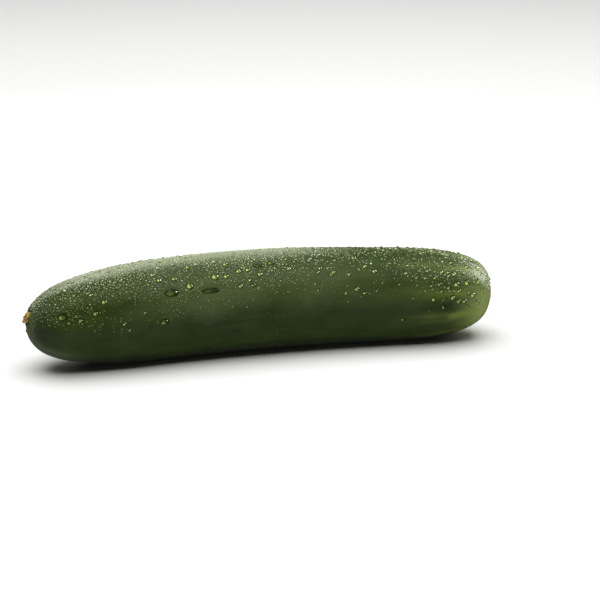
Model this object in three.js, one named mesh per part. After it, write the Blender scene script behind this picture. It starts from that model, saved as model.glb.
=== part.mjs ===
// A ripe slicing cucumber as it lies on a table: one long, gently bent fruit with soft
// lengthwise ribs, and the short torn stub of its stem, which sits in a puckered socket.
// Millimetres. The stem end points to -X, the blossom end to +X, the middle bows to +Y,
// +Z is up, and the origin is on the table under the middle of the whole cucumber.
import * as THREE from 'three';
import { mergeVertices } from 'three/addons/utils/BufferGeometryUtils.js';

// The fruit as a whole
const LENGTH = 231.3; // from the stem pole to the blossom pole, straight across
const BOW = 12.8; // how far the middle stands off the line between the poles
const MID_RADIUS = 24.45;
const REST_DEPTH = 0.45; // how far the belly is flattened where it lies on the table

// How the girth swells and narrows between the two domed ends
const BARREL_TILT = 0.033; // the stem half is a little fatter than the blossom half
const BARREL_WAIST = 0.177;
const BARREL_FLARE = 0.144;
const STEM_DOME = { length: 59.5, bulge: 2, squareness: 3 };
const BLOSSOM_DOME = { length: 53.5, bulge: 2.7, squareness: 2.9 };

// The ribs run from end to end and are strongest on the domes
const RIB_COUNT = 10;
const RIB_HEIGHT_MIDDLE = 0.1;
const RIB_HEIGHT_ENDS = 0.42;

// The pucker round the stem: a low collar with a socket in it. It isn't in the middle of its
// dome: the rings round it are moved, fully up to one radius and not at all beyond another.
const COLLAR = { radius: 3.5, width: 1.3, height: 0.35, folds: 0.2 };
const SOCKET = { radius: 2.8, depth: 1 };
const STEM_SHIFT = { side: 2.3, rise: 3.8, fullUpTo: 5, noneBeyond: 18 };
const SHOULDER = { side: 2, rise: 11, width: 9, depth: 1.7 }; // where the dome slopes in more

// The blossom scar: a thin rim round a shallow dish with a nub in its middle. It is off the
// middle of its dome too, towards the hollow of the bend.
const SCAR = { radius: 3.1, rim: 0.3, rimWidth: 0.5, dish: 0.25, nub: 0.4, nubRadius: 0.7 };
const SCAR_SHIFT = { side: -6.8, rise: 1, fullUpTo: 4, noneBeyond: 18 };

// The stem stub: a five-ribbed stalk that was torn off
const STUB = { rootRadius: 2.3, footRadius: 2.6, neckRadius: 2.3, length: 1.7 };
const STUB_RIBS = { count: 5, height: 0.06 };
const STUB_LEAN = 0.32; // it droops this much for each millimetre outward
const STUB_TEAR = 0.4; // how uneven the torn edge is
const STUB_SLIVER = 0.7; // how much further the tear reaches on the underside
const FITTING_GAP = 0.3; // between the stub and its socket

// How finely the surfaces are divided
const SIDES = 80;
const DOME_RINGS = 17;
const MIDDLE_RINGS = 16;
const STUB_SIDES = 30;

const FULL_TURN = 2 * Math.PI;
const QUARTER_TURN = Math.PI / 2;

// Where along the fruit a station lies: -1 at the stem pole, 0 midway, 1 at the blossom pole
function alongness(station) {
  return (2 * station) / LENGTH - 1;
}

function barrel(station) {
  const t = alongness(station);
  const tilt = BARREL_TILT * t * (1 - t * t);
  const waist = t * t * (BARREL_WAIST - BARREL_FLARE * t * t);
  return 1 - tilt - waist;
}

// How much of the full girth is left at a distance from the pole of a domed end
function domeShare(dome, fromPole) {
  const inward = Math.max(0, 1 - fromPole / dome.length);
  return Math.pow(1 - Math.pow(inward, dome.bulge), 1 / dome.squareness);
}

function bodyRadius(station) {
  const domes = domeShare(STEM_DOME, station) * domeShare(BLOSSOM_DOME, LENGTH - station);
  return MID_RADIUS * barrel(station) * domes;
}

// A point beside the bent centreline: `side` is level and square to it, `rise` is straight up
function pointBeside(station, side, rise) {
  const t = alongness(station);
  const slope = (-4 * BOW * t) / LENGTH;
  const squareTo = 1 / Math.hypot(1, slope);
  return new THREE.Vector3(
    (t * LENGTH) / 2 - slope * squareTo * side,
    BOW * (1 - t * t) + squareTo * side,
    MID_RADIUS * barrel(station) - REST_DEPTH + rise,
  );
}

function bump(distance, width) {
  return Math.exp(-((distance / width) ** 2));
}

function ribHeight(station) {
  const t = alongness(station);
  return RIB_HEIGHT_MIDDLE + (RIB_HEIGHT_ENDS - RIB_HEIGHT_MIDDLE) * t * t;
}

// How far from its pole a dome has grown to a radius, found by halving. `stationAt` gives the
// station at a distance from that pole.
function distanceWhere(dome, stationAt, radius) {
  let low = 0;
  let high = dome.length;
  for (let step = 0; step < 40; step += 1) {
    const middle = (low + high) / 2;
    if (bodyRadius(stationAt(middle)) < radius) {
      low = middle;
    } else {
      high = middle;
    }
  }
  return low;
}

// The station of the stem dome's surface at a place beside and above the middle of the fruit
function stemSurface(side, rise) {
  const fromShoulder = Math.hypot(side - SHOULDER.side, rise - SHOULDER.rise);
  const hollow = SHOULDER.depth * bump(fromShoulder, SHOULDER.width);
  return distanceWhere(STEM_DOME, (distance) => distance, Math.hypot(side, rise)) + hollow;
}

// The same for the blossom dome
function blossomSurface(side, rise) {
  const stationAt = (distance) => LENGTH - distance;
  return stationAt(distanceWhere(BLOSSOM_DOME, stationAt, Math.hypot(side, rise)));
}

// How far a ring near the stem or the scar is moved, by its radius
function shiftOf({ side, rise, fullUpTo, noneBeyond }, radius) {
  const way = Math.min(1, Math.max(0, (radius - fullUpTo) / (noneBeyond - fullUpTo)));
  const share = (1 + Math.cos(Math.PI * way)) / 2;
  return { side: share * side, rise: share * rise };
}

const ON_CENTRELINE = { side: 0, rise: 0 };

// One ring of the skin. The ribs fade out on the last few millimetres before a pole, where
// `folds` gathers the skin. `shift` moves the ring off the centreline. A ring that is given
// the `surface` of a dome follows it as it moves, or stays `further` along than it.
function skinRing({ station, radius, surface, shift = ON_CENTRELINE, further = 0, folds = 0 }) {
  const fade = Math.min(1, radius / MID_RADIUS);
  const ring = [];
  for (let step = 0; step < SIDES; step += 1) {
    const angle = (step / SIDES) * FULL_TURN;
    const wave = Math.cos(RIB_COUNT * angle);
    const rib = ribHeight(station) * fade * wave;
    const side = radius * Math.cos(angle) + shift.side;
    const rise = radius * Math.sin(angle) + shift.rise;
    const level = surface ? surface(side, rise) : station;
    const point = pointBeside(
      level + further - folds * wave,
      side + rib * Math.cos(angle),
      rise + rib * Math.sin(angle),
    );
    point.z = Math.max(0, point.z);
    ring.push(point);
  }
  return ring;
}

// Stations of a dome, close together at its pole and further apart towards the middle
function domeStations(dome) {
  const stations = [];
  for (let step = 1; step < DOME_RINGS; step += 1) {
    const turn = (step / DOME_RINGS) * QUARTER_TURN;
    stations.push(dome.length * (1 - Math.cos(turn)));
  }
  return stations;
}

function stemEndRings() {
  const rings = [
    { station: 0, radius: SOCKET.radius, further: SOCKET.depth },
    { station: 0, radius: SOCKET.radius + 0.15, further: -0.6 * COLLAR.height },
  ];
  for (const station of domeStations(STEM_DOME)) {
    const radius = bodyRadius(station);
    const gather = bump(radius - COLLAR.radius, COLLAR.width);
    const further = -COLLAR.height * gather;
    rings.push({ station, radius, further, folds: COLLAR.folds * gather });
  }
  for (const ring of rings) {
    ring.surface = stemSurface;
    ring.shift = shiftOf(STEM_SHIFT, ring.radius);
  }
  return rings;
}

// A point by its depth under the middle of the socket's mouth, as the dome's surface runs there
function stemMiddle(depth) {
  const { side, rise } = STEM_SHIFT;
  return pointBeside(stemSurface(side, rise) + depth, side, rise);
}

function blossomEndRings() {
  const rings = [
    { station: LENGTH, radius: SCAR.nubRadius, further: SCAR.nub - SCAR.dish },
    { station: LENGTH, radius: 2 * SCAR.nubRadius, further: -SCAR.dish },
    { station: LENGTH, radius: SCAR.radius - SCAR.rimWidth, further: -SCAR.dish },
    { station: LENGTH, radius: SCAR.radius, further: SCAR.rim },
    { station: LENGTH, radius: SCAR.radius + SCAR.rimWidth },
  ];
  for (const fromPole of domeStations(BLOSSOM_DOME)) {
    rings.push({ station: LENGTH - fromPole, radius: bodyRadius(LENGTH - fromPole) });
  }
  for (const ring of rings) {
    ring.surface = blossomSurface;
    ring.shift = shiftOf(SCAR_SHIFT, ring.radius);
  }
  return rings.reverse();
}

// The top of the nub
function scarMiddle() {
  const { side, rise } = SCAR_SHIFT;
  return pointBeside(blossomSurface(side, rise) + SCAR.nub, side, rise);
}

function middleRings() {
  const start = STEM_DOME.length;
  const span = LENGTH - STEM_DOME.length - BLOSSOM_DOME.length;
  const rings = [];
  for (let step = 0; step <= MIDDLE_RINGS; step += 1) {
    const station = start + (span * step) / MIDDLE_RINGS;
    rings.push({ station, radius: bodyRadius(station) });
  }
  return rings;
}

// Joins rings of points into one closed skin, with a single point closing each end
function skinOver(startPoint, rings, endPoint) {
  const count = rings[0].length;
  const points = [startPoint, ...rings.flat(), endPoint];
  const faces = [];
  const at = (ring, side) => 1 + ring * count + (side % count);
  const last = rings.length - 1;
  for (let side = 0; side < count; side += 1) {
    faces.push(0, at(0, side + 1), at(0, side));
    for (let ring = 0; ring < last; ring += 1) {
      faces.push(at(ring, side), at(ring, side + 1), at(ring + 1, side));
      faces.push(at(ring, side + 1), at(ring + 1, side + 1), at(ring + 1, side));
    }
    faces.push(points.length - 1, at(last, side), at(last, side + 1));
  }
  const geometry = new THREE.BufferGeometry().setFromPoints(points);
  geometry.setIndex(faces);
  const merged = mergeVertices(geometry);
  merged.computeVertexNormals();
  return merged;
}

function makeFruit() {
  const rings = [...stemEndRings(), ...middleRings(), ...blossomEndRings()];
  const geometry = skinOver(
    stemMiddle(SOCKET.depth),
    rings.map(skinRing),
    scarMiddle(),
  );
  const skin = new THREE.MeshStandardMaterial({ color: 0x37451f, roughness: 0.42, metalness: 0 });
  const fruit = new THREE.Mesh(geometry, skin);
  fruit.name = 'fruit';
  return fruit;
}

// One ring of the stub at a height above the socket's floor, which follows the dome as the
// floor does. `tear` is how far the ring follows the uneven torn edge.
function stubRing({ height, radius, tear = 0 }) {
  const clear = SOCKET.depth + COLLAR.height;
  const ring = [];
  for (let step = 0; step < STUB_SIDES; step += 1) {
    const angle = (step / STUB_SIDES) * FULL_TURN;
    const ribbed = radius * (1 + STUB_RIBS.height * Math.cos(STUB_RIBS.count * angle));
    const jagged = Math.sin(7 * angle + 1) * 0.6 + Math.sin(12 * angle) * 0.4;
    const underside = (1 - Math.sin(angle)) / 2;
    const reached = height + tear * (STUB_TEAR * jagged + STUB_SLIVER * underside);
    const droop = STUB_LEAN * Math.max(0, reached - clear);
    const side = ribbed * Math.cos(angle) + STEM_SHIFT.side;
    const rise = ribbed * Math.sin(angle) + STEM_SHIFT.rise;
    const station = stemSurface(side, rise) + SOCKET.depth - reached;
    ring.push(pointBeside(station, side, rise - droop));
  }
  return ring;
}

function makeStemStub() {
  const floor = FITTING_GAP;
  const clear = SOCKET.depth + COLLAR.height;
  const mouth = clear + FITTING_GAP;
  const tip = SOCKET.depth + STUB.length;
  const up = (share) => mouth + share * (tip - mouth);
  const rings = [
    { height: floor, radius: STUB.rootRadius },
    { height: mouth, radius: STUB.rootRadius },
    { height: up(0.2), radius: STUB.footRadius },
    { height: up(0.45), radius: 0.5 * (STUB.footRadius + STUB.neckRadius), tear: 0.1 },
    { height: up(0.75), radius: STUB.neckRadius, tear: 0.4 },
    { height: tip, radius: STUB.neckRadius * 0.96, tear: 1 },
    { height: tip - 0.1, radius: STUB.neckRadius * 0.78, tear: 0.8 },
    { height: tip - 0.5, radius: STUB.neckRadius * 0.5, tear: 0.3 },
    { height: tip - 0.6, radius: STUB.neckRadius * 0.22, tear: 0.1 },
  ];
  const inner = stemMiddle(SOCKET.depth - floor);
  const outer = stemMiddle(SOCKET.depth - tip + 0.6);
  outer.z -= STUB_LEAN * (tip - 0.6 - clear);
  const geometry = skinOver(outer, rings.reverse().map(stubRing), inner);
  const bark = new THREE.MeshStandardMaterial({ color: 0x9a8b3c, roughness: 0.75, metalness: 0 });
  const stub = new THREE.Mesh(geometry, bark);
  stub.name = 'stem_stub';
  return stub;
}

const cucumber = new THREE.Group();
cucumber.add(makeFruit(), makeStemStub());

// The origin goes on the table, under the middle of the cucumber's own box
const box = new THREE.Box3().setFromObject(cucumber);
const middle = box.getCenter(new THREE.Vector3());
cucumber.position.set(-middle.x, -middle.y, -box.min.z);

export default cucumber;
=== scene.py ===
# A wet slicing cucumber lying on a pale table: the fruit with its waxy ribbed skin, the torn
# stub of its stem, and the water that was sprayed on it. Metres, in the frame of the solids.
import math

import bpy
import numpy as np
from mathutils import Matrix, Vector


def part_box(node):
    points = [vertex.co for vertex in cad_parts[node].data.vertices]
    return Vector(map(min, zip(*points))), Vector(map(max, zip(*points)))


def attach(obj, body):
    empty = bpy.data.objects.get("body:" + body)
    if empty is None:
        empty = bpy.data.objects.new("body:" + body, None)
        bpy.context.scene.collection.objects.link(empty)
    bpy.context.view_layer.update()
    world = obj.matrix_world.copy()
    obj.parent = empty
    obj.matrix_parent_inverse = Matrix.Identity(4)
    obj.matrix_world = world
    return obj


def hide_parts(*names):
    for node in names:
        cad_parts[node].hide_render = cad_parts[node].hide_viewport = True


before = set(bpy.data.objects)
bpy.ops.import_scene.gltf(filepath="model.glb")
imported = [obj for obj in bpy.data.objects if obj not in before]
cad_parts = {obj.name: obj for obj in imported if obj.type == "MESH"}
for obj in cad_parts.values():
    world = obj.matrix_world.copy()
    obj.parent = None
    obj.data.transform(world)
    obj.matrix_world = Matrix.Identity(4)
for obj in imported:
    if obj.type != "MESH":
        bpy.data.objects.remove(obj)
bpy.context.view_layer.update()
MM = 0.001

# The camera stands in front of the cucumber and to the left of its middle, at the height
# from which a shopper looks down on a counter, with a long lens that keeps the ends alike.
PICTURE_SIDE = 600
LENS = 110.0
SENSOR = 36.0
CAMERA_DISTANCE = 900 * MM
CAMERA_TURN = math.radians(-14.88)
CAMERA_ABOVE = math.radians(17.0)
CAMERA_AIM = Vector((18.85 * MM, -7.3 * MM, 24.75 * MM))

back = Vector((
    math.sin(CAMERA_TURN) * math.cos(CAMERA_ABOVE),
    -math.cos(CAMERA_TURN) * math.cos(CAMERA_ABOVE),
    math.sin(CAMERA_ABOVE),
))
right = Vector((math.cos(CAMERA_TURN), math.sin(CAMERA_TURN), 0))
up = back.cross(right)
camera_place = CAMERA_AIM + CAMERA_DISTANCE * back

camera_data = bpy.data.cameras.new("camera")
camera_data.lens = LENS
camera_data.sensor_width = SENSOR
camera_data.clip_start = 0.05
camera = bpy.data.objects.new("camera", camera_data)
camera.matrix_world = Matrix((
    (right.x, up.x, back.x, camera_place.x),
    (right.y, up.y, back.y, camera_place.y),
    (right.z, up.z, back.z, camera_place.z),
    (0, 0, 0, 1),
))
bpy.context.scene.collection.objects.link(camera)
bpy.context.scene.camera = camera


def pixels_of(points):
    """Where points of space fall in the picture, and how far each is from the camera."""
    seen = points - np.array(camera_place)
    depth = -(seen @ np.array(back))
    scale = LENS / SENSOR * PICTURE_SIDE / depth
    across = PICTURE_SIDE / 2 + scale * (seen @ np.array(right))
    down = PICTURE_SIDE / 2 - scale * (seen @ np.array(up))
    return across, down, depth


# The table top is one plain sheet of white matt board. It lies level under the fruit and is
# far wider than the picture, so that no edge of it shows.
TABLE_SIZE = 8.0
TABLE_COLOUR = (0.86, 0.86, 0.85, 1)


def new_material(name, **sockets):
    """A material with one Principled shader, and the plain values of that shader."""
    material = bpy.data.materials.new(name)
    material.use_nodes = True
    shader = material.node_tree.nodes["Principled BSDF"]
    for socket, value in sockets.items():
        shader.inputs[socket.replace("_", " ")].default_value = value
    return material, shader


def new_piece(name, points, faces, material):
    """A smooth-shaded mesh object from an array of points and a list of faces."""
    mesh = bpy.data.meshes.new(name)
    mesh.from_pydata(points.tolist(), [], faces)
    mesh.shade_smooth()
    mesh.materials.append(material)
    piece = bpy.data.objects.new(name, mesh)
    bpy.context.scene.collection.objects.link(piece)
    return piece


white_board, _ = new_material("white board", Base_Color=TABLE_COLOUR, Roughness=0.9)
far = TABLE_SIZE / 2
corners = np.array([(-far, -far, 0), (far, -far, 0), (far, far, 0), (-far, far, 0)])
table = new_piece("table", corners, [(0, 1, 2, 3)], white_board)

# A wide soft box overhead lights the fruit evenly and, like the table, is kept out of its
# gloss. A box at the right, a little behind, gives reflections alone: the sheen on the tip
# and the glint in each bead. A faint low box behind adds a little sheen along the back.
SOFT_BOXES = {
    # name: (place, width and depth, watts, colour, lights matt surfaces, shows in gloss)
    "box overhead": ((0.0, 0.1, 1.7), (2.4, 2.4), 60.0, (1.0, 1.0, 1.0), True, False),
    "box at the right": ((0.95, 0.20, 0.50), (0.55, 0.66), 11.0, (1.0, 0.99, 0.95), False, True),
    "box behind": ((-0.15, 0.45, 0.36), (0.30, 0.42), 0.4, (1.0, 1.0, 1.0), True, True),
}
LIT_POINT = Vector((0, 0, 25 * MM))
ROOM_LIGHT = 0.03

for name, (stand, size, watts, colour, lights_matt, shows_in_gloss) in SOFT_BOXES.items():
    lamp = bpy.data.lights.new(name, "AREA")
    lamp.shape = "RECTANGLE"
    lamp.size, lamp.size_y = size
    lamp.energy = watts
    lamp.color = colour
    light = bpy.data.objects.new(name, lamp)
    light.location = stand
    light.rotation_euler = (Vector(stand) - LIT_POINT).to_track_quat("Z", "Y").to_euler()
    light.visible_diffuse = lights_matt
    light.visible_glossy = shows_in_gloss
    bpy.context.scene.collection.objects.link(light)
table.visible_glossy = False

room = bpy.data.worlds.new("room")
room.use_nodes = True
room.node_tree.nodes["Background"].inputs["Color"].default_value = (1, 1, 1, 1)
room.node_tree.nodes["Background"].inputs["Strength"].default_value = ROOM_LIGHT
bpy.context.scene.world = room
bpy.context.scene.view_settings.view_transform = "Standard"

# The fruit is one grown piece: a long barrel with domed ends, bent to one side, under a
# tough waxy skin. Ten soft ribs run down it, the skin is gathered round the stem, and the
# flower has left a corky scar at the other end. It lies on its belly, pressed a little flat.
BOW = 12.8 * MM

# These two are a hair less than the solid's, whose facets cut a little off
LENGTH = 231.1 * MM
MID_RADIUS = 24.43 * MM

REST_DEPTH = 0.45 * MM
BARREL_TILT = 0.033
BARREL_WAIST = 0.177
BARREL_FLARE = 0.144
STEM_DOME = (59.5 * MM, 2, 3)
BLOSSOM_DOME = (53.5 * MM, 2.7, 2.9)
RIB_COUNT = 10
RIB_HEIGHT_MIDDLE = 0.1 * MM
RIB_HEIGHT_ENDS = 0.42 * MM
COLLAR_RADIUS = 3.5 * MM
COLLAR_WIDTH = 1.3 * MM
COLLAR_HEIGHT = 0.35 * MM
COLLAR_FOLDS = 0.2 * MM
SOCKET_RADIUS = 2.8 * MM
SOCKET_DEPTH = 1.0 * MM
STEM_SHIFT_SIDE = 2.3 * MM
STEM_SHIFT_RISE = 3.8 * MM
STEM_FULL_UP_TO = 5.0 * MM
SHIFT_NONE_BEYOND = 18.0 * MM
SHOULDER_SIDE = 2.0 * MM
SHOULDER_RISE = 11.0 * MM
SHOULDER_WIDTH = 9.0 * MM
SHOULDER_DEPTH = 1.7 * MM
SCAR_RADIUS = 3.1 * MM
SCAR_SHIFT_SIDE = -6.8 * MM
SCAR_SHIFT_RISE = 1.0 * MM
SCAR_FULL_UP_TO = 4.0 * MM
SCAR_RIM = 0.3 * MM
SCAR_RIM_WIDTH = 0.45 * MM
SCAR_DISH = 0.25 * MM
SCAR_NUB = 0.4 * MM
SCAR_NUB_RADIUS = 0.8 * MM
SWELL_HEIGHT = 0.035 * MM
SWELL_WAVES = 14
SKIN_SIDES = 200
NEAR_POLE = 12.0 * MM
POLE_STEP = 0.3 * MM
STATION_STEP = 1.0 * MM
DOME_SAMPLES = 20000
TURN = 2 * math.pi


def bump(distance, width):
    return np.exp(-((distance / width) ** 2))


def barrel(station):
    t = 2 * station / LENGTH - 1
    return 1 - BARREL_TILT * t * (1 - t * t) - t * t * (BARREL_WAIST - BARREL_FLARE * t * t)


def dome_share(dome, from_pole):
    length, bulge, squareness = dome
    inward = np.clip(1 - from_pole / length, 0, 1)
    return (1 - inward**bulge) ** (1 / squareness)


def body_radius(station):
    station = np.clip(station, 0, LENGTH)
    domes = dome_share(STEM_DOME, station) * dome_share(BLOSSOM_DOME, LENGTH - station)
    return MID_RADIUS * barrel(station) * domes


def beside(station, side, rise):
    """Points beside the bent centreline: side is level and square to it, rise is upward."""
    t = 2 * station / LENGTH - 1
    slope = -4 * BOW * t / LENGTH
    square = 1 / np.hypot(1, slope)
    x = t * LENGTH / 2 - slope * square * side
    y = BOW * (1 - t * t) + square * side
    z = MID_RADIUS * barrel(station) - REST_DEPTH + rise
    return np.stack(np.broadcast_arrays(x, y, z), -1)


def distances_from_pole(reach):
    """Distances from a pole, which lie closest together next to it."""
    return np.linspace(0, 1, DOME_SAMPLES) ** 3 * reach


dome_stations = distances_from_pole(STEM_DOME[0])
dome_radii = body_radius(dome_stations)


def stem_surface(side, rise):
    """The station of the stem dome's surface, which slopes in more at its upper shoulder."""
    from_shoulder = np.hypot(side - SHOULDER_SIDE, rise - SHOULDER_RISE)
    hollow = SHOULDER_DEPTH * bump(from_shoulder, SHOULDER_WIDTH)
    return np.interp(np.hypot(side, rise), dome_radii, dome_stations) + hollow


tip_distances = distances_from_pole(BLOSSOM_DOME[0])
tip_dome_radii = body_radius(LENGTH - tip_distances)


def tip_surface(side, rise):
    """The station of the blossom dome's surface."""
    return LENGTH - np.interp(np.hypot(side, rise), tip_dome_radii, tip_distances)


def shift_share(radius, full_up_to):
    """How much of its shift off the dome's middle a ring near the stem or the scar has."""
    way = (radius - full_up_to) / (SHIFT_NONE_BEYOND - full_up_to)
    return (1 + np.cos(math.pi * np.clip(way, 0, 1))) / 2


def near_stem(depth, side, rise):
    """Points by their depth under the dome, and how far they are beside and above the stem."""
    side = side + STEM_SHIFT_SIDE
    rise = rise + STEM_SHIFT_RISE
    return beside(stem_surface(side, rise) + depth, side, rise)


draw = np.random.default_rng(11)
swell_along = draw.uniform(60, 420, SWELL_WAVES)
swell_around = draw.integers(2, 22, SWELL_WAVES)
swell_start = draw.uniform(0, TURN, SWELL_WAVES)


def swell(station, angle):
    """The gentle unevenness of the skin: a few waves that run along and round the fruit."""
    total = 0
    for along, around, start in zip(swell_along, swell_around, swell_start):
        total = total + np.cos(along * station + around * angle + start)
    return SWELL_HEIGHT * total / math.sqrt(SWELL_WAVES)


def skin_at(station, angle, radius, outward=0.0):
    """Points of the skin. station is the distance from the stem pole along the fruit, and
    angle goes round it, from 0 at the outside of the bend to a quarter turn at the top."""
    stem_half = station < LENGTH / 2
    gather = np.where(stem_half, bump(radius - COLLAR_RADIUS, COLLAR_WIDTH), 0)
    moved = shift_share(radius, np.where(stem_half, STEM_FULL_UP_TO, SCAR_FULL_UP_TO))
    t = 2 * station / LENGTH - 1
    rib = RIB_HEIGHT_MIDDLE + (RIB_HEIGHT_ENDS - RIB_HEIGHT_MIDDLE) * t * t
    wave = np.cos(RIB_COUNT * angle)
    fade = np.minimum(1, radius / MID_RADIUS)
    relief = fade * (rib * wave + swell(station, angle))
    side = radius * np.cos(angle) + moved * np.where(stem_half, STEM_SHIFT_SIDE, SCAR_SHIFT_SIDE)
    rise = radius * np.sin(angle) + moved * np.where(stem_half, STEM_SHIFT_RISE, SCAR_SHIFT_RISE)
    level = np.where(station < STEM_DOME[0], stem_surface(side, rise), station)
    level = np.where(station > LENGTH - BLOSSOM_DOME[0], tip_surface(side, rise), level)
    along = level - gather * (COLLAR_HEIGHT + COLLAR_FOLDS * wave) + outward
    points = beside(along, side + relief * np.cos(angle), rise + relief * np.sin(angle))
    points[..., 2] = np.maximum(points[..., 2], 0)
    return points


def scar_relief(radius):
    """How far the blossom scar stands out of the dome: a rim, a dish and a nub."""
    rim = SCAR_RIM * bump(radius - SCAR_RADIUS, SCAR_RIM_WIDTH)
    dish = SCAR_DISH * np.clip((SCAR_RADIUS - radius) / SCAR_RIM_WIDTH - 1, 0, 1)
    return rim - dish + SCAR_NUB * bump(radius, SCAR_NUB_RADIUS)


def pole_rings(from_radius, dome_radius):
    """Distances from a pole, and radii, of the rings near it, which are spaced by radius."""
    distances = distances_from_pole(LENGTH / 4)
    radii = np.arange(from_radius, NEAR_POLE, POLE_STEP)
    return np.interp(radii, dome_radius(distances), distances), radii


def ring_faces(rings, sides):
    """Faces over rings of points that lie between a first pole and a last one."""
    ring, side = np.meshgrid(np.arange(rings - 1), np.arange(sides), indexing="ij")
    after = (side + 1) % sides
    here, there = ring * sides, (ring + 1) * sides
    quads = 1 + np.stack((here + side, here + after, there + after, there + side), -1)
    last = 1 + (rings - 1) * sides
    first_fan = [(0, 1 + (i + 1) % sides, 1 + i) for i in range(sides)]
    last_fan = [(last + sides, last + i, last + (i + 1) % sides) for i in range(sides)]
    return first_fan + quads.reshape(-1, 4).tolist() + last_fan


stem_side, stem_radii = pole_rings(SOCKET_RADIUS + POLE_STEP / 2, body_radius)
tip_side, tip_radii = pole_rings(POLE_STEP, lambda distance: body_radius(LENGTH - distance))
middle = np.arange(stem_side[-1] + STATION_STEP, LENGTH - tip_side[-1], STATION_STEP)
stations = np.concatenate([stem_side, middle, LENGTH - tip_side[::-1]])
radii = np.concatenate([stem_radii, body_radius(middle), tip_radii[::-1]])
outward = np.where(stations > LENGTH / 2, scar_relief(radii), 0)
turns = np.arange(SKIN_SIDES) / SKIN_SIDES * TURN
socket = np.arange(POLE_STEP, SOCKET_RADIUS, POLE_STEP)[:, None]
socket_rings = near_stem(SOCKET_DEPTH, socket * np.cos(turns), socket * np.sin(turns))
skin_rings = skin_at(stations[:, None], turns, radii[:, None], outward[:, None])
stem_pole = near_stem(SOCKET_DEPTH, 0.0, 0.0)[None]
scar_station = tip_surface(SCAR_SHIFT_SIDE, SCAR_SHIFT_RISE)
tip_pole = beside(scar_station + SCAR_NUB, SCAR_SHIFT_SIDE, SCAR_SHIFT_RISE)[None]
rings = np.concatenate([socket_rings, skin_rings])
skin_points = np.concatenate([stem_pole, rings.reshape(-1, 3), tip_pole])

# The middle of the fruit's box is where it is on the solid fruit
low, high = (np.array(corner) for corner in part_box("fruit"))
to_frame = (low + high - skin_points.min(0) - skin_points.max(0)) / 2
to_frame[2] = 0


def node_hand(tree):
    """A function that adds a node to the tree and gives its inputs their values or links."""
    def add(kind, inputs=(), **settings):
        node = tree.nodes.new(kind)
        for name, value in settings.items():
            setattr(node, name, value)
        for name, value in dict(inputs).items():
            if isinstance(value, bpy.types.NodeSocket):
                tree.links.new(value, node.inputs[name])
            else:
                node.inputs[name].default_value = value
        return node
    return add


def maths(add, operation, *values, clamp=False):
    node = add("ShaderNodeMath", dict(enumerate(values)), operation=operation, use_clamp=clamp)
    return node.outputs[0]


def rising(add, value, start, end):
    """A mask that rises smoothly from 0 at start to 1 at end."""
    inputs = {"Value": value, "From Min": start, "From Max": end}
    return add("ShaderNodeMapRange", inputs, interpolation_type="SMOOTHSTEP").outputs["Result"]


def mix(add, share, first, second):
    """One colour turning into another as share goes from 0 to 1."""
    return add("ShaderNodeMix", {0: share, 6: first, 7: second}, data_type="RGBA").outputs[2]


def new_effect(name, takes, gives):
    """An effect that several materials share: its group, its node hand and what it is given."""
    group = bpy.data.node_groups.new(name, "ShaderNodeTree")
    for socket, (kind, value) in takes.items():
        made = group.interface.new_socket(socket, in_out="INPUT", socket_type="NodeSocket" + kind)
        made.default_value = value
    for socket, kind in gives.items():
        group.interface.new_socket(socket, in_out="OUTPUT", socket_type="NodeSocket" + kind)
    given = group.nodes.new("NodeGroupInput").outputs
    return group, node_hand(group), given


# Clouded tissue drifts from one colour to another, in patches or in long streaks
clouded, add, given = new_effect(
    "clouded tissue",
    {
        "Place": ("Vector", (0, 0, 0)),
        "Stretch": ("Vector", (1, 1, 1)),
        "Contrast": ("Float", 1.0),
        "Dark": ("Color", (0, 0, 0, 1)),
        "Light": ("Color", (1, 1, 1, 1)),
    },
    {"Color": "Color", "Mask": "Float"},
)
stretch = {0: given["Place"], 1: given["Stretch"]}
stretched = add("ShaderNodeVectorMath", stretch, operation="MULTIPLY")
cloud = add("ShaderNodeTexNoise", {"Vector": stretched.outputs[0], "Scale": 1.0, "Detail": 4.0})
off_middle = maths(add, "SUBTRACT", cloud.outputs["Fac"], 0.5)
cloud_mask = maths(add, "MULTIPLY_ADD", off_middle, given["Contrast"], 0.5, clamp=True)
cloud_colour = mix(add, cloud_mask, given["Dark"], given["Light"])
add("NodeGroupOutput", {"Color": cloud_colour, "Mask": cloud_mask})

# Flecks are small round spots scattered over a surface, each fading at its edge
flecked, add, given = new_effect(
    "flecks",
    {"Place": ("Vector", (0, 0, 0)), "Closeness": ("Float", 1.0), "Size": ("Float", 0.2)},
    {"Mask": "Float"},
)
cells = add("ShaderNodeTexVoronoi", {"Vector": given["Place"], "Scale": given["Closeness"]})
fleck_edge = maths(add, "DIVIDE", cells.outputs["Distance"], given["Size"])
add("NodeGroupOutput", {"Mask": maths(add, "SUBTRACT", 1.0, fleck_edge, clamp=True)})


def effect(add, group, **inputs):
    return add("ShaderNodeGroup", inputs, node_tree=group).outputs


# The skin's colours, from its deep green to the yellow-green between the ribs at the tip,
# and the pale sheens that are painted on it
DEEP_GREEN = (0.020, 0.036, 0.006, 1)
LEAF_GREEN = (0.040, 0.068, 0.011, 1)
STREAK_GREEN = (0.060, 0.095, 0.018, 1)
FLECK_GREEN = (0.10, 0.15, 0.05, 1)
TIP_GREEN = (0.33, 0.42, 0.11, 1)
TIP_YELLOW = (0.24, 0.30, 0.045, 1)
BLOOM_AND_SHEEN_GREY = (0.155, 0.21, 0.085, 1)
SHOULDER_DARK = (0.026, 0.037, 0.015, 1)
RIM_SHEEN = (0.34, 0.38, 0.27, 1)
FROST_SHEEN = (0.62, 0.66, 0.50, 1)
CORK = (0.48, 0.30, 0.15, 1)
CORK_DARK = (0.19, 0.10, 0.045, 1)
LENGTH_MM = LENGTH / MM

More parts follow.
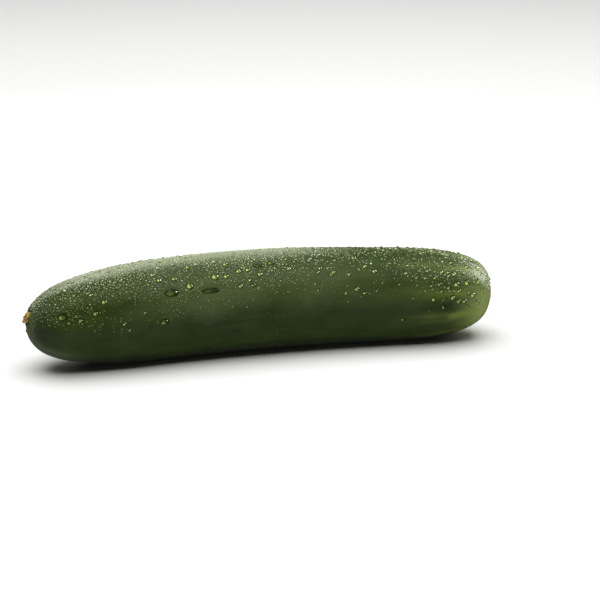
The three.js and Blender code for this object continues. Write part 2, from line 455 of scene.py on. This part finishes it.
# Where those colours come up, each from none to full. Millimetres, from the stem end along
# the fruit, up from its middle line, or from the middle of the scar
TIP_FROM_STEM = (LENGTH_MM - 24, LENGTH_MM)
TIP_DOWNWARD = (12.0, -4.0)
STRIPES_FROM_STEM = (LENGTH_MM - 60, LENGTH_MM - 12)
BLOOM_SHEEN_UPWARD = (-8.0, 8.0)
BLOOM_SHEEN_DOWNWARD = (26.0, 8.0)
BLOOM_SHEEN_FROM_STEM = (30.0, 80.0)
BLOOM_SHEEN_FROM_TIP = (185.0, 130.0)
BLOOM_SHEEN_RAGGED = 8.0
SHOULDER_TO_STEM = (13.0, 0.0)
HALO_TO_SCAR = (9.0, 3.2)
CORK_TO_SCAR = (3.5, 3.0)
FROST_SHEEN_UPWARD = (8.0, 20.0)
FROST_SHEEN_FROM_STEM = (3.0, 30.0)
FROST_SHEEN_FROM_TIP = (170.0, 110.0)
RIM_SHEEN_TO_STEM = (32.0, 4.0)

skin_material, skin_shader = new_material(
    "cucumber skin", Specular_IOR_Level=0.4, Coat_Weight=0.1, Coat_Roughness=0.25
)
add = node_hand(skin_material.node_tree)
peel = add("ShaderNodeAttribute", attribute_name="straightened").outputs["Vector"]
rib_crest = add("ShaderNodeAttribute", attribute_name="rib crest").outputs["Fac"]
from_scar = add("ShaderNodeAttribute", attribute_name="from scar").outputs["Fac"]
along = add("ShaderNodeSeparateXYZ", {0: peel})
from_stem = along.outputs["X"]
rise = along.outputs["Z"]

# Mottled greens, a few long paler streaks and a scatter of pale flecks
green = effect(
    add, clouded, Place=peel, Stretch=(0.09, 0.14, 0.14), Contrast=2.0, Dark=DEEP_GREEN, Light=LEAF_GREEN
)
streaks = effect(add, clouded, Place=peel, Stretch=(0.03, 0.5, 0.5), Contrast=2.5)["Mask"]
colour = mix(add, maths(add, "MULTIPLY", streaks, 0.22), green["Color"], STREAK_GREEN)
fine_flecks = effect(add, flecked, Place=peel, Closeness=0.8, Size=0.24)["Mask"]
colour = mix(add, maths(add, "MULTIPLY", fine_flecks, 0.4), colour, FLECK_GREEN)

# Towards the blossom end the skin turns lighter, and yellow stripes come up between the ribs
tip = rising(add, from_stem, *TIP_FROM_STEM)
on_belly = rising(add, rise, *TIP_DOWNWARD)
tip = maths(add, "MULTIPLY", tip, maths(add, "MULTIPLY_ADD", on_belly, 0.55, 0.38))
colour = mix(add, tip, colour, TIP_GREEN)
between_ribs = maths(add, "MULTIPLY_ADD", rib_crest, -0.5, 0.5)
striped = rising(add, from_stem, *STRIPES_FROM_STEM)
stripe = maths(add, "MULTIPLY", maths(add, "POWER", between_ribs, 2.5), striped)
broken = effect(add, clouded, Place=peel, Stretch=(0.06, 0.2, 0.2), Contrast=3.0)["Mask"]
stripe = maths(add, "MULTIPLY", stripe, maths(add, "MULTIPLY_ADD", broken, 0.75, 0.1))
colour = mix(add, stripe, colour, TIP_YELLOW)

# The bloom is a thin film of grey wax over the upper sides, with a ragged lower edge, and
# its grey is partly a painted sheen of the light from above. It is thickest at half height
# and towards the middle of the fruit.
film = effect(add, clouded, Place=peel, Stretch=(0.03, 0.05, 0.05), Contrast=2.4)["Mask"]
edge = maths(add, "MULTIPLY_ADD", film, BLOOM_SHEEN_RAGGED, maths(add, "ADD", rise, -BLOOM_SHEEN_RAGGED))
below_top = rising(add, rise, *BLOOM_SHEEN_DOWNWARD)
upper_sides = maths(add, "MULTIPLY", rising(add, edge, *BLOOM_SHEEN_UPWARD), below_top)
bloom_and_sheen = maths(add, "MULTIPLY", upper_sides, maths(add, "MULTIPLY_ADD", film, 0.30, 0.15))
bloom_and_sheen = maths(add, "MULTIPLY", bloom_and_sheen, rising(add, from_stem, *BLOOM_SHEEN_FROM_STEM))
thinner_at_tip = maths(add, "MULTIPLY_ADD", rising(add, from_stem, *BLOOM_SHEEN_FROM_TIP), 0.6, 0.4)
bloom_and_sheen = maths(add, "MULTIPLY", bloom_and_sheen, thinner_at_tip)
colour = mix(add, bloom_and_sheen, colour, BLOOM_AND_SHEEN_GREY)

# The shoulder round the stem is darker, and the scar of the flower is cork in a pale halo
shoulder = rising(add, from_stem, *SHOULDER_TO_STEM)
colour = mix(add, maths(add, "MULTIPLY", shoulder, 0.8), colour, SHOULDER_DARK)
halo = maths(add, "MULTIPLY", rising(add, from_scar, *HALO_TO_SCAR), 0.45)
colour = mix(add, halo, colour, TIP_YELLOW)
cork = effect(
    add, clouded, Place=peel, Stretch=(2.5, 2.5, 2.5), Contrast=3.0, Dark=CORK_DARK, Light=CORK
)
corky = rising(add, from_scar, *CORK_TO_SCAR)
colour = mix(add, corky, colour, cork["Color"])

# A pale painted sheen stands for the light that the finest spray catches on the top of the
# stem half, most where it is seen at a slant
slant = add("ShaderNodeLayerWeight", {"Blend": 0.5}).outputs["Facing"]
frost = maths(add, "MULTIPLY", maths(add, "POWER", slant, 3.0), rising(add, rise, *FROST_SHEEN_UPWARD))
frost = maths(add, "MULTIPLY", frost, rising(add, from_stem, *FROST_SHEEN_FROM_STEM))
frost = maths(add, "MULTIPLY", frost, rising(add, from_stem, *FROST_SHEEN_FROM_TIP))
droplets = effect(add, flecked, Place=peel, Closeness=1.6, Size=0.9)["Mask"]
frost = maths(add, "MULTIPLY", frost, maths(add, "MULTIPLY_ADD", droplets, 1.5, 0.6), clamp=True)
colour = mix(add, frost, colour, FROST_SHEEN)

# A pale sheen is painted at the edge of the stem end, most where it is seen at a slant
rim_sheen = maths(add, "MULTIPLY", maths(add, "POWER", slant, 3.0), rising(add, from_stem, *RIM_SHEEN_TO_STEM))
colour = mix(add, maths(add, "MULTIPLY", rim_sheen, 0.8), colour, RIM_SHEEN)

# The bloom and the cork are duller than the bare wax
roughness = maths(add, "MULTIPLY_ADD", green["Mask"], 0.10, 0.30)
roughness = maths(add, "MULTIPLY_ADD", bloom_and_sheen, 0.35, roughness)
roughness = maths(add, "MULTIPLY_ADD", corky, 0.4, roughness, clamp=True)
pores = add("ShaderNodeTexNoise", {"Vector": peel, "Scale": 0.7, "Detail": 4.0}).outputs["Fac"]
grain = maths(add, "MULTIPLY_ADD", fine_flecks, 0.6, pores)
grain = maths(add, "MULTIPLY_ADD", streaks, 0.4, grain)
dents = add("ShaderNodeBump", {"Height": grain, "Strength": 0.6, "Distance": 0.16 * MM})
links = skin_material.node_tree.links
links.new(colour, skin_shader.inputs["Base Color"])
links.new(roughness, skin_shader.inputs["Roughness"])
links.new(dents.outputs["Normal"], skin_shader.inputs["Normal"])

fruit_faces = ring_faces(len(rings), SKIN_SIDES)
fruit = new_piece("fruit_skin", skin_points + to_frame, fruit_faces, skin_material)


def give_attribute(piece, name, kind, values):
    attribute = piece.data.attributes.new(name, kind, "POINT")
    attribute.data.foreach_set("vector" if kind == "FLOAT_VECTOR" else "value", values.ravel())


def with_poles(values, first, last):
    return np.concatenate([[first], values.reshape(-1, *np.shape(first)), [last]])


ring_stations = np.concatenate([np.full(len(socket), SOCKET_DEPTH), stations])[:, None]
ring_radii = np.concatenate([socket[:, 0], radii])[:, None]
straight = np.stack(
    np.broadcast_arrays(ring_stations, ring_radii * np.cos(turns), ring_radii * np.sin(turns)), -1
)
crest = np.broadcast_to(np.cos(RIB_COUNT * turns), straight.shape[:2])
scar_middle = beside(scar_station, SCAR_SHIFT_SIDE, SCAR_SHIFT_RISE)
peel_places = with_poles(straight, (0, 0, 0), (LENGTH, 0, 0)) / MM
scar_distances = np.linalg.norm(skin_points - scar_middle, axis=1) / MM
give_attribute(fruit, "straightened", "FLOAT_VECTOR", peel_places)
give_attribute(fruit, "rib crest", "FLOAT", with_poles(crest, 0.0, 0.0))
give_attribute(fruit, "from scar", "FLOAT", scar_distances)
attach(fruit, "root")
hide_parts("fruit")

# The stem stub is the end of the stalk that stayed on when the fruit was picked: a tough,
# five-ribbed, fibrous peg that grows out of the socket and was torn across, not cut.
STUB_ROOT_RADIUS = 2.3 * MM
STUB_FOOT_RADIUS = 2.6 * MM
STUB_NECK_RADIUS = 2.3 * MM
STUB_LENGTH = 1.7 * MM
STUB_RIBS = 5
STUB_RIB_HEIGHT = 0.06
STUB_LEAN = 0.32
STUB_TEAR = 0.4 * MM
STUB_SLIVER = 0.7 * MM
FITTING_GAP = 0.3 * MM
STUB_SIDES = 120
STUB_RINGS = 70
FIBRE_COUNT = 34
FIBRE_HEIGHT = 0.05 * MM


def stub_outline():
    """Heights above the socket's floor, radii, and how far each follows the torn edge."""
    mouth = SOCKET_DEPTH + COLLAR_HEIGHT + FITTING_GAP
    tip = SOCKET_DEPTH + STUB_LENGTH
    waist = (STUB_FOOT_RADIUS + STUB_NECK_RADIUS) / 2
    corners = np.array([
        (FITTING_GAP, STUB_ROOT_RADIUS, 0),
        (mouth, STUB_ROOT_RADIUS, 0),
        (mouth + 0.2 * (tip - mouth), STUB_FOOT_RADIUS, 0),
        (mouth + 0.45 * (tip - mouth), waist, 0.1),
        (mouth + 0.75 * (tip - mouth), STUB_NECK_RADIUS, 0.4),
        (tip, 0.96 * STUB_NECK_RADIUS, 1),
        (tip - 0.1 * MM, 0.78 * STUB_NECK_RADIUS, 0.8),
        (tip - 0.5 * MM, 0.5 * STUB_NECK_RADIUS, 0.3),
        (tip - 0.6 * MM, 0.12 * STUB_NECK_RADIUS, 0.1),
    ])
    steps = np.linspace(0, len(corners) - 1, STUB_RINGS)
    return [np.interp(steps, np.arange(len(corners)), column) for column in corners.T]


def stub_at(height, radius, tear, angle):
    ribbed = radius * (1 + STUB_RIB_HEIGHT * np.cos(STUB_RIBS * angle))
    fibres = FIBRE_HEIGHT * np.cos(FIBRE_COUNT * angle + 2 * np.sin(3 * angle))
    jagged = 0.6 * np.sin(7 * angle + 1) + 0.4 * np.sin(12 * angle)
    splinters = 0.25 * np.sin(29 * angle) + 0.2 * np.sin(41 * angle + 2)
    underside = (1 - np.sin(angle)) / 2
    reached = height + tear * (STUB_TEAR * (jagged + splinters) + STUB_SLIVER * underside)
    droop = STUB_LEAN * np.maximum(0, reached - SOCKET_DEPTH - COLLAR_HEIGHT)
    out = ribbed + fibres * np.clip(height / SOCKET_DEPTH - 1, 0, 1)
    points = near_stem(SOCKET_DEPTH - reached, out * np.cos(angle), out * np.sin(angle))
    points[..., 2] -= droop
    return points


heights, stub_radii, tears = (column[::-1, None] for column in stub_outline())
stub_turns = np.arange(STUB_SIDES) / STUB_SIDES * TURN
stub_rings = stub_at(heights, stub_radii, tears, stub_turns)
outer_end = stub_rings[0].mean(0)
inner_end = stub_rings[-1].mean(0)
stub_points = np.concatenate([outer_end[None], stub_rings.reshape(-1, 3), inner_end[None]])

STALK_GREEN = (0.13, 0.14, 0.02, 1)
STALK_STRAW = (0.56, 0.47, 0.07, 1)
STALK_RUST = (0.30, 0.11, 0.02, 1)
STALK_BLACK = (0.022, 0.020, 0.006, 1)
TORN_FIBRE = (0.62, 0.53, 0.16, 1)

stalk_material, stalk_shader = new_material("dry stalk", Roughness=0.72)
add = node_hand(stalk_material.node_tree)
grain_place = add("ShaderNodeAttribute", attribute_name="straightened").outputs["Vector"]
torn = add("ShaderNodeAttribute", attribute_name="torn").outputs["Fac"]
stalk = effect(
    add, clouded, Place=grain_place, Stretch=(0.35, 1.4, 1.4), Contrast=3.0,
    Dark=STALK_GREEN, Light=STALK_STRAW,
)
fibre_face = effect(
    add, clouded, Place=grain_place, Stretch=(1.5, 3.5, 3.5), Contrast=4.0,
    Dark=STALK_RUST, Light=TORN_FIBRE,
)
stalk_colour = mix(add, torn, stalk["Color"], fibre_face["Color"])
rust = effect(add, clouded, Place=grain_place, Stretch=(0.9, 1.1, 1.1), Contrast=6.0)["Mask"]
rust = maths(add, "MULTIPLY", rising(add, rust, 0.62, 0.95), 0.8)
stalk_colour = mix(add, rust, stalk_colour, STALK_RUST)
spots = effect(add, flecked, Place=grain_place, Closeness=1.0, Size=0.5)["Mask"]
spots = rising(add, spots, 0.1, 0.6)
stalk_colour = mix(add, spots, stalk_colour, STALK_BLACK)
stalk_relief = {"Height": stalk["Mask"], "Strength": 0.6, "Distance": 0.15 * MM}
stalk_dents = add("ShaderNodeBump", stalk_relief)
links = stalk_material.node_tree.links
links.new(stalk_colour, stalk_shader.inputs["Base Color"])
links.new(stalk_dents.outputs["Normal"], stalk_shader.inputs["Normal"])

stub_faces = ring_faces(STUB_RINGS, STUB_SIDES)
stub = new_piece("stem_stub_fine", stub_points + to_frame, stub_faces, stalk_material)
stub_straight = np.stack(
    np.broadcast_arrays(heights, stub_radii * np.cos(stub_turns), stub_radii * np.sin(stub_turns)), -1
)
on_face = np.arange(STUB_RINGS)[:, None] < STUB_RINGS * 3 / 8
torn_rings = np.broadcast_to(on_face, stub_straight.shape[:2]).astype(float)
stub_places = with_poles(stub_straight, (0, 0, 0), (0, 0, 0)) / MM
give_attribute(stub, "straightened", "FLOAT_VECTOR", stub_places)
give_attribute(stub, "torn", "FLOAT", with_poles(torn_rings, 1.0, 0.0))
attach(stub, "root")
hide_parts("stem_stub")

# Water was sprayed on the fruit and stands on its wax in beads. The largest are where they
# show in the picture. Smaller ones and a fine mist cover the top and sides, and the lower
# flanks stay dry. Each bead is a closed drop whose foot reaches a little into the skin.
SEEN_BEADS = (
    # across, down, width, height of the bead in the picture, in pixels
    (172, 293, 12.5, 7), (211, 291, 16, 5), (190, 286, 6.6, 6.6), (215, 276.5, 7.5, 7),
    (173, 265, 6, 4), (188, 267, 5, 4.5), (196, 264.5, 5, 4), (158, 268.5, 5, 4),
    (152, 275, 4.5, 4), (159, 280, 4.5, 4), (174, 279, 5.5, 4.5), (104.5, 302, 5, 4.5),
    (165, 322, 8, 4.5), (125, 324, 4, 4), (130, 330, 3, 3), (146, 313, 3, 3),
    (96, 314, 5.5, 5), (81, 320.5, 4, 4), (62, 317.5, 8, 6), (59, 293, 6, 4),
    (74, 295.5, 4, 3.5), (91, 295, 4, 3.5), (214, 262, 4, 4), (226.5, 276.5, 5, 5),
    (225.5, 264.5, 5, 4.5), (236, 259.5, 4, 3), (243, 261, 4, 3), (238.5, 271.5, 5, 5),
    (248, 270, 4.5, 4.5), (243, 265, 3.5, 3), (259, 266, 10, 3.5), (270.5, 263.5, 6.5, 3.5),
    (253, 285, 6, 4), (260, 274, 5, 4.5), (250, 280, 3.5, 3.5), (241, 286, 4, 4),
    (286, 259, 4, 4), (289, 268.5, 4, 4), (296, 259, 3, 3), (310, 259, 4, 3.5),
    (254, 255.5, 4, 2.5), (217.5, 258.5, 4, 2.5), (318, 272, 3, 3), (318.5, 290, 3, 3),
    (356.5, 289, 4.5, 4.5), (346, 293, 3.5, 3.5), (365, 292.5, 3.5, 3.5), (365, 266.5, 4, 4),
    (374, 271.5, 4.5, 4.5), (349, 274, 4, 4), (333, 272.5, 3.2, 3.2), (331, 274.5, 3, 3),
    (320, 268.5, 3.5, 3.5), (328, 268, 3, 3), (353.5, 258, 5, 4), (406, 273, 4, 4),
    (403, 319.5, 4.5, 4), (377, 291, 3.2, 3.2), (378.5, 249, 4.5, 4), (383.5, 250.5, 3.5, 3.5),
    (391, 249, 5, 4.5), (396, 249.5, 4, 4), (405.5, 249.5, 5, 3.5), (418, 250, 8.5, 5),
    (410, 251.5, 4, 3), (424, 253, 4, 3), (432, 252, 3.5, 3), (440, 253, 4.5, 3.5),
    (447, 255.5, 4, 3.5), (450.5, 263, 4.5, 3.5), (446.5, 258, 4.5, 3), (456, 253.5, 4, 3.5),
    (461.5, 258, 3, 3), (456.7, 284, 6.5, 5.5), (467, 282.5, 6, 5.5), (478, 282, 5, 5.5),
    (473, 295, 6, 5), (454, 274, 5, 4.5), (434, 299.5, 4.5, 4.5), (453, 297.5, 5, 4.5),
    (444, 307, 4.5, 4.5), (478, 302.5, 4.5, 4.5), (483, 290.5, 4, 4.5), (477, 268.5, 5, 4.5),
    (466, 267, 4, 3.5), (441.5, 272.5, 3.5, 3.5), (447.5, 272.5, 3.5, 3.5), (432, 285.5, 3.5, 3.5),
    (442, 291, 4, 4), (448.5, 288, 4, 4), (458.5, 301, 4.5, 4.5), (465, 301, 4.5, 4.5),
    (459.5, 290.5, 4, 3.5), (439.5, 284.5, 3.5, 3.5), (435, 278, 3.5, 3.5), (448.5, 276, 3, 3),
    (468, 306, 3, 3), (417, 278, 3, 3),
)
BEAD_EDGE = math.radians(78)
BEAD_FOOT = 0.12 * MM
BEAD_GAP = 1.04
BEAD_HEIGHT = 0.66
MM_PER_PIXEL = 0.49 * MM
CELL = 3 * MM

# A bead gathers light as a lens does, and that light and the shade at its rim are painted
# on. These are shares of its half width, and of its painted light
FOCUS_OFFSET = 0.5
FOCUS_WIDTH = 0.48
FOCUS_BASE = 0.3
RIM_OFFSET = 0.14
RIM_SHARE = 0.35
TIP_LIGHT = 0.3
SPOT_RINGS = (0.3, 0.55, 0.8, 1.0, 1.15)
SPOT_LIFT = 0.03 * MM

walked = np.hypot(np.diff(stations), np.diff(radii))
meridian = np.concatenate([[0], np.cumsum(walked)])


def skin_on(path, angle):
    """Points of the skin, by the distance walked over it from the pucker round the stem."""
    station = np.interp(path, meridian, stations)
    radius = np.interp(path, meridian, radii)
    return skin_at(station, angle, radius) + to_frame


def skin_frame(path, angle):
    """The skin's own directions at a place: along the fruit, round it and outward."""
    step = 0.2 * MM
    radius = np.interp(path, meridian, radii)
    along = skin_on(path + step, angle) - skin_on(path - step, angle)
    around = skin_on(path, angle + step / radius) - skin_on(path, angle - step / radius)
    outward = np.cross(around, along)
    return [way / np.linalg.norm(way, axis=-1, keepdims=True) for way in (along, around, outward)]


def find_on_skin(pixels):
    """The path and angle of the place on the skin that the camera sees at each pixel."""
    path = np.arange(2 * MM, meridian[-1] - 2 * MM, 0.4 * MM)
    angle = np.arange(0, TURN, 0.016)
    across, down, depth = pixels_of(skin_on(path[:, None], angle))
    found = []
    for wanted_across, wanted_down in pixels:
        miss = np.hypot(across - wanted_across, down - wanted_down) + 0.1 * depth / MM
        row, column = np.unravel_index(np.argmin(miss), miss.shape)
        found.append((path[row], angle[column]))
    return np.array(found)


def lay_on_skin(places, unit, lift):
    """Puts a copy of a unit shape on the skin at each place. A place is a row of path, angle,
    half length, half width, height, slant and shine. Unit points run along, around and out."""
    path, angle, half_length, half_width, _, slant, _ = (column[:, None] for column in places.T)
    lengthwise = unit[:, 0] * half_length
    crosswise = unit[:, 1] * half_width
    along = lengthwise * np.cos(slant) - crosswise * np.sin(slant)
    around = lengthwise * np.sin(slant) + crosswise * np.cos(slant)
    radius = np.interp(path, meridian, radii)
    footing = path + along, angle + around / radius
    return skin_on(*footing) + lift[..., None] * skin_frame(*footing)[2]


def many(faces, count, step):
    """The same faces for each of many copies of a shape."""
    copied = []
    for copy in range(count):
        copied += [tuple(corner + copy * step for corner in face) for face in faces]
    return copied


def away_from_box(places, points):
    """Which way over the skin the light of the box at the right travels, at each place."""
    along, around, _ = skin_frame(places[:, 0], places[:, 1])
    to_box = np.array(SOFT_BOXES["box at the right"][0]) - points[:, 0]
    away = -np.stack([(to_box * along).sum(-1), (to_box * around).sum(-1)], -1)
    return away / np.linalg.norm(to_box, axis=-1, keepdims=True)


def gathered_light(unit, away, reach):
    """The painted light of a bead: 0 for the painted shade at its rim, and 1 where the bead
    gathers light, on the side away from the box. The rim is thinner on that side."""
    from_focus = np.linalg.norm(unit - FOCUS_OFFSET * away[:, None], axis=-1)
    from_middle = np.linalg.norm(unit - RIM_OFFSET * away[:, None], axis=-1)
    inside = np.clip((reach - from_middle) / RIM_SHARE, 0, 1)
    return inside * (FOCUS_BASE + (1 - FOCUS_BASE) * bump(from_focus, FOCUS_WIDTH))


def degrees_from_top(angle):
    """How far round the fruit a place is from its top, to either side."""
    return np.degrees(np.abs((angle + TURN / 4) % TURN - TURN / 2))


def make_beads(name, places, rings, sides, material, top_light=0.0):
    """Closed drops with a round crown and a foot that is sunk into the skin. Drops with painted
    light are painted lighter at the tip of the fruit, and as top_light says on its top."""
    tilt = np.linspace(0, BEAD_EDGE, rings + 1)[1:, None]
    spin = (np.arange(sides) + 0.5) / sides * TURN
    share = np.sin(tilt) / math.sin(BEAD_EDGE)
    height = (np.cos(tilt) - math.cos(BEAD_EDGE)) / (1 - math.cos(BEAD_EDGE))
    crown = np.stack(np.broadcast_arrays(share * np.sin(spin), share * np.cos(spin), height), -1)
    foot = crown[-1:] * (1, 1, 0) - (0, 0, 1)
    unit = np.concatenate([[(0, 0, 1)], crown.reshape(-1, 3), foot.reshape(-1, 3), [(0, 0, -1)]])
    lift = np.where(unit[:, 2] < 0, -BEAD_FOOT, unit[:, 2] * places[:, 4, None])
    points = lay_on_skin(places, unit, lift)
    faces = many([face[::-1] for face in ring_faces(rings + 1, sides)], len(places), len(unit))
    beads = new_piece(name, points.reshape(-1, 3), faces, material)
    value = places[:, 6, None] * gathered_light(unit[:, :2], away_from_box(places, points), 1.05)
    from_top = degrees_from_top(places[:, 1, None])
    share = places[:, 0, None] / meridian[-1]
    on_top = np.interp(from_top, [15, 50], [1, 0]) * np.interp(share, [0.5, 0.7], [1, 0.6])
    value = value + top_light * on_top + TIP_LIGHT * np.interp(share, [0.88, 0.97], [0, 1])
    give_attribute(beads, "gathered light", "FLOAT", value)
    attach(beads, "root")


def make_bright_spots(name, places, sides):
    """The skin seen through each bead, with painted shade at its rim and painted light at its focus."""
    spin = np.arange(sides) / sides * TURN
    share = np.array(SPOT_RINGS)[:, None]
    rings = np.stack(np.broadcast_arrays(share * np.sin(spin), share * np.cos(spin)), -1)
    unit = np.concatenate([[(0, 0)], rings.reshape(-1, 2)])
    lift = np.full((len(places), len(unit)), SPOT_LIFT)
    points = lay_on_skin(places, unit, lift)
    fan_and_bands = [face[::-1] for face in ring_faces(len(SPOT_RINGS), sides)[:-sides]]
    faces = many(fan_and_bands, len(places), len(unit))
    spots = new_piece(name, points.reshape(-1, 3), faces, wet_skin)
    value = places[:, 6, None] * gathered_light(unit, away_from_box(places, points), 1.0)
    give_attribute(spots, "gathered light", "FLOAT", value)
    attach(spots, "root")


PAINTED_RIM_SHADE = (0.010, 0.018, 0.004, 1)
WET_GREEN = (0.070, 0.110, 0.022, 1)
PAINTED_GLOW_GREEN = (0.40, 0.50, 0.14, 1)
SPRAY_GREEN = (0.15, 0.20, 0.08, 1)
PAINTED_SPRAY_GLOW = (0.82, 0.90, 0.52, 1)


def lens_colour(add, rim, middle, glow):
    """The painted colours seen in a bead, from the painted shade at its rim to the light at its focus.
    """
    gathered = add("ShaderNodeAttribute", attribute_name="gathered light").outputs["Fac"]
    lit = mix(add, rising(add, gathered, 0.0, FOCUS_BASE), rim, middle)
    return mix(add, rising(add, gathered, FOCUS_BASE, 0.95), lit, glow)


wet_skin, wet_shader = new_material("skin under water", Roughness=0.9, Specular_IOR_Level=0.0)
wet_colour = lens_colour(node_hand(wet_skin.node_tree), PAINTED_RIM_SHADE, WET_GREEN, PAINTED_GLOW_GREEN)
wet_skin.node_tree.links.new(wet_colour, wet_shader.inputs["Base Color"])

# Small drops are too small to see into, so the light that each gathers and the shade at its
# rim are painted on it
spray, spray_shader = new_material("fine spray", Roughness=0.2, IOR=1.33, Coat_Weight=1.0)
spray_colour = lens_colour(node_hand(spray.node_tree), WET_GREEN, SPRAY_GREEN, PAINTED_SPRAY_GLOW)
spray.node_tree.links.new(spray_colour, spray_shader.inputs["Base Color"])

# Light reaches the skin straight through the water, for the bright spots paint what it gathers
water, water_shader = new_material(
    "clear water", Base_Color=(1, 1, 1, 1), Roughness=0.05, IOR=1.33, Transmission_Weight=1.0,
    Coat_Weight=1.0, Coat_IOR=2.0, Coat_Roughness=0.06,
)
add = node_hand(water.node_tree)
shadow_ray = add("ShaderNodeLightPath").outputs["Is Shadow Ray"]
see_through = add("ShaderNodeBsdfTransparent").outputs["BSDF"]
shaders = {0: shadow_ray, 1: water_shader.outputs["BSDF"], 2: see_through}
wet_or_shadow = add("ShaderNodeMixShader", shaders)
water_output = water.node_tree.nodes["Material Output"]
water.node_tree.links.new(wet_or_shadow.outputs[0], water_output.inputs["Surface"])

taken = {}


def take_place(point, size):
    """Keeps a place for a bead, unless it would touch one that is already there."""
    x, y, z = (int(value // CELL) for value in point)
    for i in (x - 1, x, x + 1):
        for j in (y - 1, y, y + 1):
            for k in (z - 1, z, z + 1):
                for place, other in taken.get((i, j, k), ()):
                    if math.dist(point, place) < BEAD_GAP * (size + other):
                        return False
    taken.setdefault((x, y, z), []).append((point, size))
    return True


def scatter(seed, wanted, smallest, largest, crowding):
    """Random beads, small ones more often, where the spray lies and no other bead stands."""
    draw = np.random.default_rng(seed)
    tries = 16 * wanted
    path = draw.uniform(0.8 * MM, meridian[-1] - 3.5 * MM, tries)
    angle = draw.uniform(0, TURN, tries)
    size = smallest + (largest - smallest) * draw.random(tries) ** 2.2
    oval = draw.uniform(0.88, 1.12, tries)
    height = size * draw.uniform(0.55, 0.8, tries)
    slant = draw.uniform(0, TURN, tries)
    girth = np.interp(path, meridian, radii) / MID_RADIUS
    from_top = degrees_from_top(angle)
    chosen = draw.random(tries) < girth * crowding(path / meridian[-1], from_top, path, angle)
    # A bead's painted light is weaker down the flanks, where less light falls
    shine = draw.uniform(0.5, 1.05, tries) * np.interp(from_top, [0, 55, 95], [1, 0.85, 0.4])
    rows = np.stack([path, angle, size * oval, size / oval, height, slant, shine], -1)[chosen]
    points = skin_on(rows[:, 0], rows[:, 1]).tolist()
    places = []
    for row, point in zip(rows, points):
        if len(places) < wanted and take_place(point, max(row[2], row[3])):
            places.append(row)
    return np.array(places)


def sprayed(share, from_top, path, angle):
    """The spray came from above. It thins out down the flanks and lies in loose patches."""
    lowest = np.interp(share, [0, 0.3, 0.45, 0.75, 0.85, 1], [106, 96, 92, 88, 100, 104])
    waves = np.sin(60 * path + 3 * angle) + np.sin(97 * path - 5 * angle + 1)
    return np.clip((lowest - from_top) / 52, 0, 1) ** 1.5 * np.clip(0.6 + 0.35 * waves, 0, 1)


def middling_crowding(share, from_top, path, angle):
    """Middling drops are most frequent near the blossom end."""
    along = np.interp(share, [0, 0.35, 0.5, 0.77, 0.86, 1], [0.25, 0.22, 0.12, 0.15, 1, 0.9])
    return sprayed(share, from_top, path, angle) * along


def small_crowding(share, from_top, path, angle):
    """Small drops are most frequent on the stem third, and stand close round the stem."""
    along = np.interp(share, [0, 0.1, 0.33, 0.48, 0.75, 0.85, 1], [0.7, 0.9, 1, 0.4, 0.25, 0.5, 0.5])
    round_stem = 3 * bump(path, 3.5 * MM)
    return np.maximum(sprayed(share, from_top, path, angle) * along, round_stem)


def mist_crowding(share, from_top, path, angle):
    """The mist lies like frost along the top of the stem half."""
    frost = bump(from_top, 45) * np.interp(share, [0, 0.1, 0.5, 0.65, 1], [0.6, 1, 0.8, 0.15, 0.3])
    return np.maximum(frost, 0.25 * sprayed(share, from_top, path, angle))


seen = np.array(SEEN_BEADS)
half_width = seen[:, 2] / 2 * MM_PER_PIXEL
shown_height = np.maximum(seen[:, 3], np.where(seen[:, 2] < 9, 0.7 * seen[:, 2], 0))
half_height = shown_height / 2 * MM_PER_PIXEL
no_slant = np.zeros(len(seen))
smaller_half = np.minimum(half_width, half_height)
# Each bead's painted light: less in flat drops, and more near the tip
shine = np.clip(2 * half_height / half_width - 0.75, 0.25, 1)
spots = find_on_skin(seen[:, :2])
shine = shine * np.interp(spots[:, 0] / meridian[-1], [0.85, 0.95], [1, 1.5])
bead_heights = BEAD_HEIGHT * smaller_half
large = np.column_stack([spots, half_width, half_height, bead_heights, no_slant, shine])
for row, point in zip(large, skin_on(large[:, 0], large[:, 1]).tolist()):
    take_place(point, max(row[2], row[3]))
share_made = 1
middling = scatter(5, int(600 * share_made), 0.60 * MM, 1.0 * MM, middling_crowding)
small = scatter(6, int(3900 * share_made), 0.34 * MM, 0.60 * MM, small_crowding)
mist = scatter(7, int(5400 * share_made), 0.18 * MM, 0.34 * MM, mist_crowding)

# Clear water on the very top would vanish against the pale table, so it has painted light too
on_very_top = degrees_from_top(large[:, 1]) < 21
make_beads("water_beads_large", large[~on_very_top], 7, 22, water)
make_bright_spots("bright_spots_large", large[~on_very_top], 20)
make_beads("water_beads_on_top", large[on_very_top], 7, 22, spray, top_light=0.1)
make_beads("water_beads_middling", middling, 5, 14, spray, top_light=0.2)
make_beads("water_beads_small", small, 2, 8, spray, top_light=0.35)
make_beads("water_mist", mist, 2, 6, spray, top_light=0.35)
